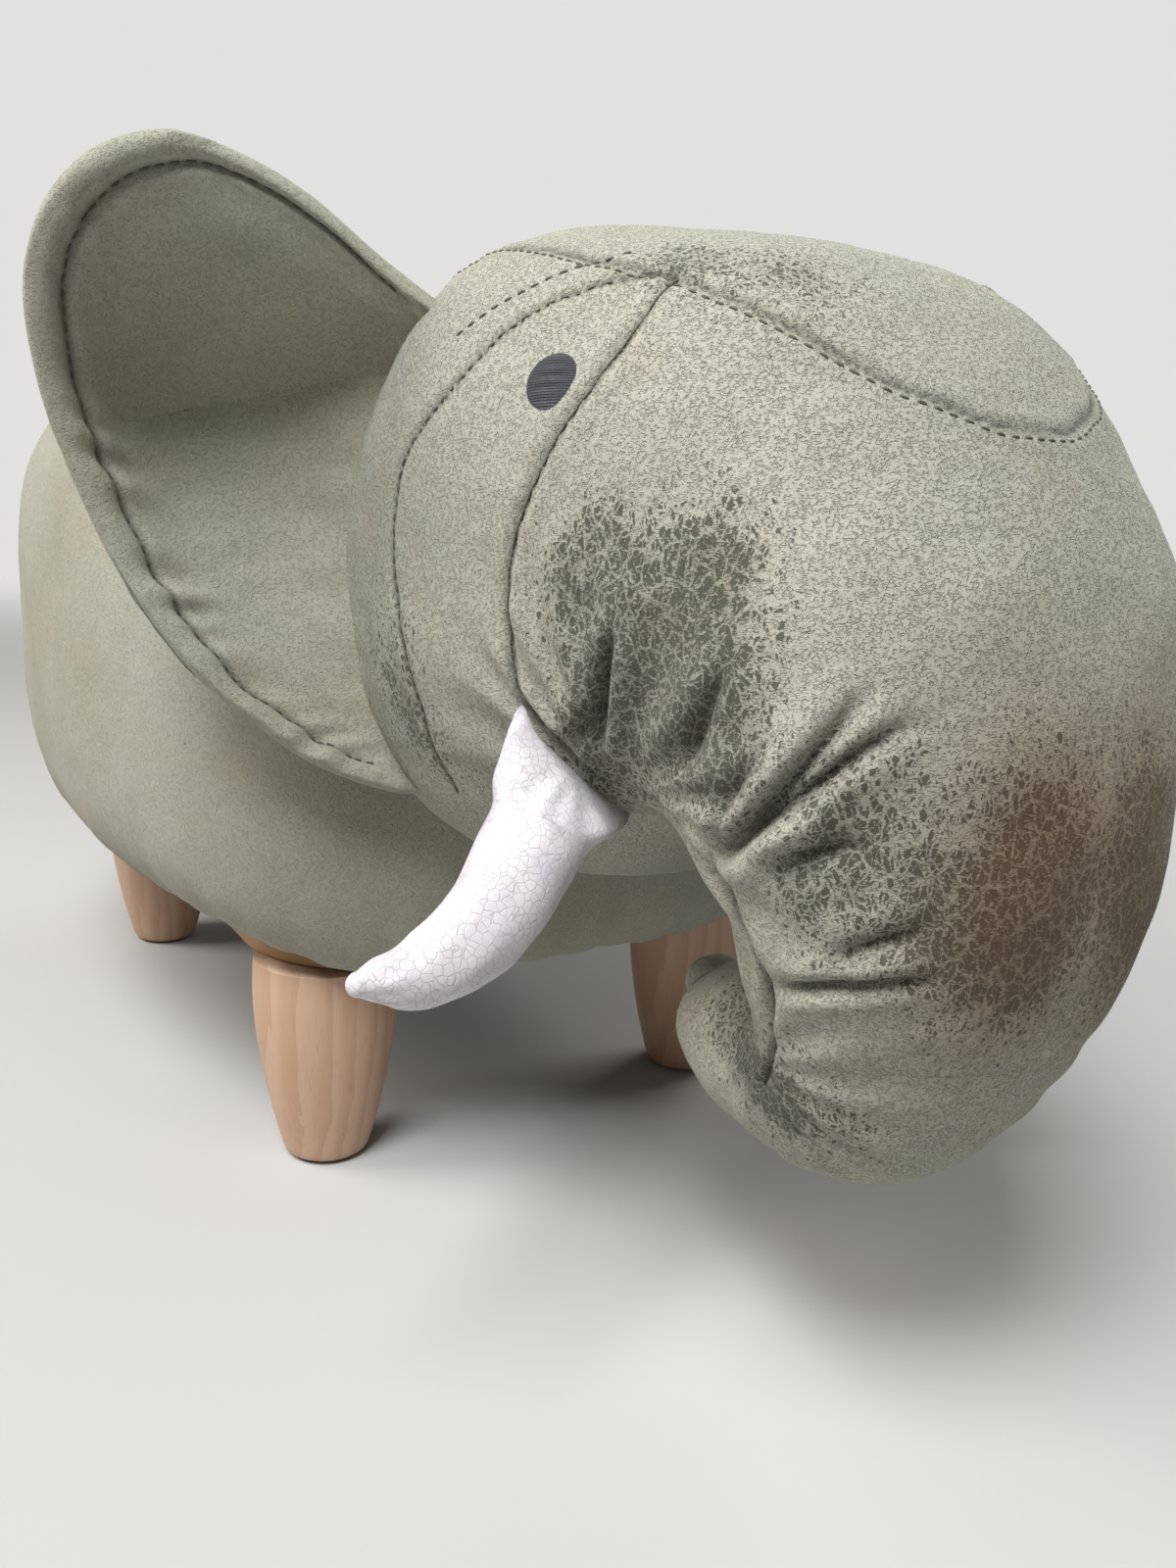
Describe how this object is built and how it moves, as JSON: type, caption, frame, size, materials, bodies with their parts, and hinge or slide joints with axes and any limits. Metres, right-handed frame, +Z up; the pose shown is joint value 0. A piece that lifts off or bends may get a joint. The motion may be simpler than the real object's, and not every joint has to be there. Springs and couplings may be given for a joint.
{
  "type": "elephant footstool",
  "caption": "Upholstered footstool shaped as an elephant: padded body on turned wooden legs, stuffed head with a curled trunk, cupped ears, leatherette tusks and a tail",
  "frame": {"origin": "on the floor under the middle of the whole stool's bounding box", "axes": "+Z up, -Y the way the elephant faces, +X the elephant's left side"},
  "size_m": [0.392, 0.6452, 0.352],
  "materials": {
    "coat": "napped suede cloth with a worn print",
    "tusk_leather": "pebble grain, matt",
    "eye_thread": "satin stitch",
    "turned_wood": "satin lacquer",
    "plywood": "raw",
    "dust_cloth": "nonwoven",
    "foam": "open cell",
    "zinc": "zinc plated"
  },
  "bodies": {
    "stool": {"base_board": "plywood", "body_cushion": "coat", "dust_cover": "dust_cloth", "dust_cover_staples": "zinc", "embroidered_eyes": "eye_thread", "frame_screws": "zinc", "front_left_glue_block": "plywood", "front_left_leg": "turned_wood", "front_panel": "plywood", "front_right_glue_block": "plywood", "front_right_leg": "turned_wood", "head": "coat", "head_board": "plywood", "left_rail": "plywood", "left_tusk": "tusk_leather", "leg_bolts": "zinc", "neck_block": "plywood", "neck_bolts": "zinc", "neck_nuts": "zinc", "neck_washers": "zinc", "rear_left_glue_block": "plywood", "rear_left_leg": "turned_wood", "rear_panel": "plywood", "rear_right_glue_block": "plywood", "rear_right_leg": "turned_wood", "right_rail": "plywood", "right_tusk": "tusk_leather", "seat_board": "plywood", "seat_foam": "foam", "tee_nuts": "zinc"},
    "left_ear": {"left_ear": "coat"},
    "right_ear": {"right_ear": "coat"},
    "tail": {"tail": "coat"}
  },
  "joints": [
    {"name": "left_ear_seam", "type": "hinge", "parent": "stool", "child": "left_ear", "pos_m": [0.09, -0.15104, 0.24], "axis": [0, 0, -1], "range_deg": [0, 15], "stiffness_Nm_per_rad": 0.1},
    {"name": "right_ear_seam", "type": "hinge", "parent": "stool", "child": "right_ear", "pos_m": [-0.09, -0.15104, 0.24], "axis": [0, 0, 1], "range_deg": [0, 15], "stiffness_Nm_per_rad": 0.1},
    {"name": "tail_seam", "type": "hinge", "parent": "stool", "child": "tail", "pos_m": [0, 0.30796, 0.27], "axis": [1, 0, 0], "range_deg": [0, 60]}
  ]
}
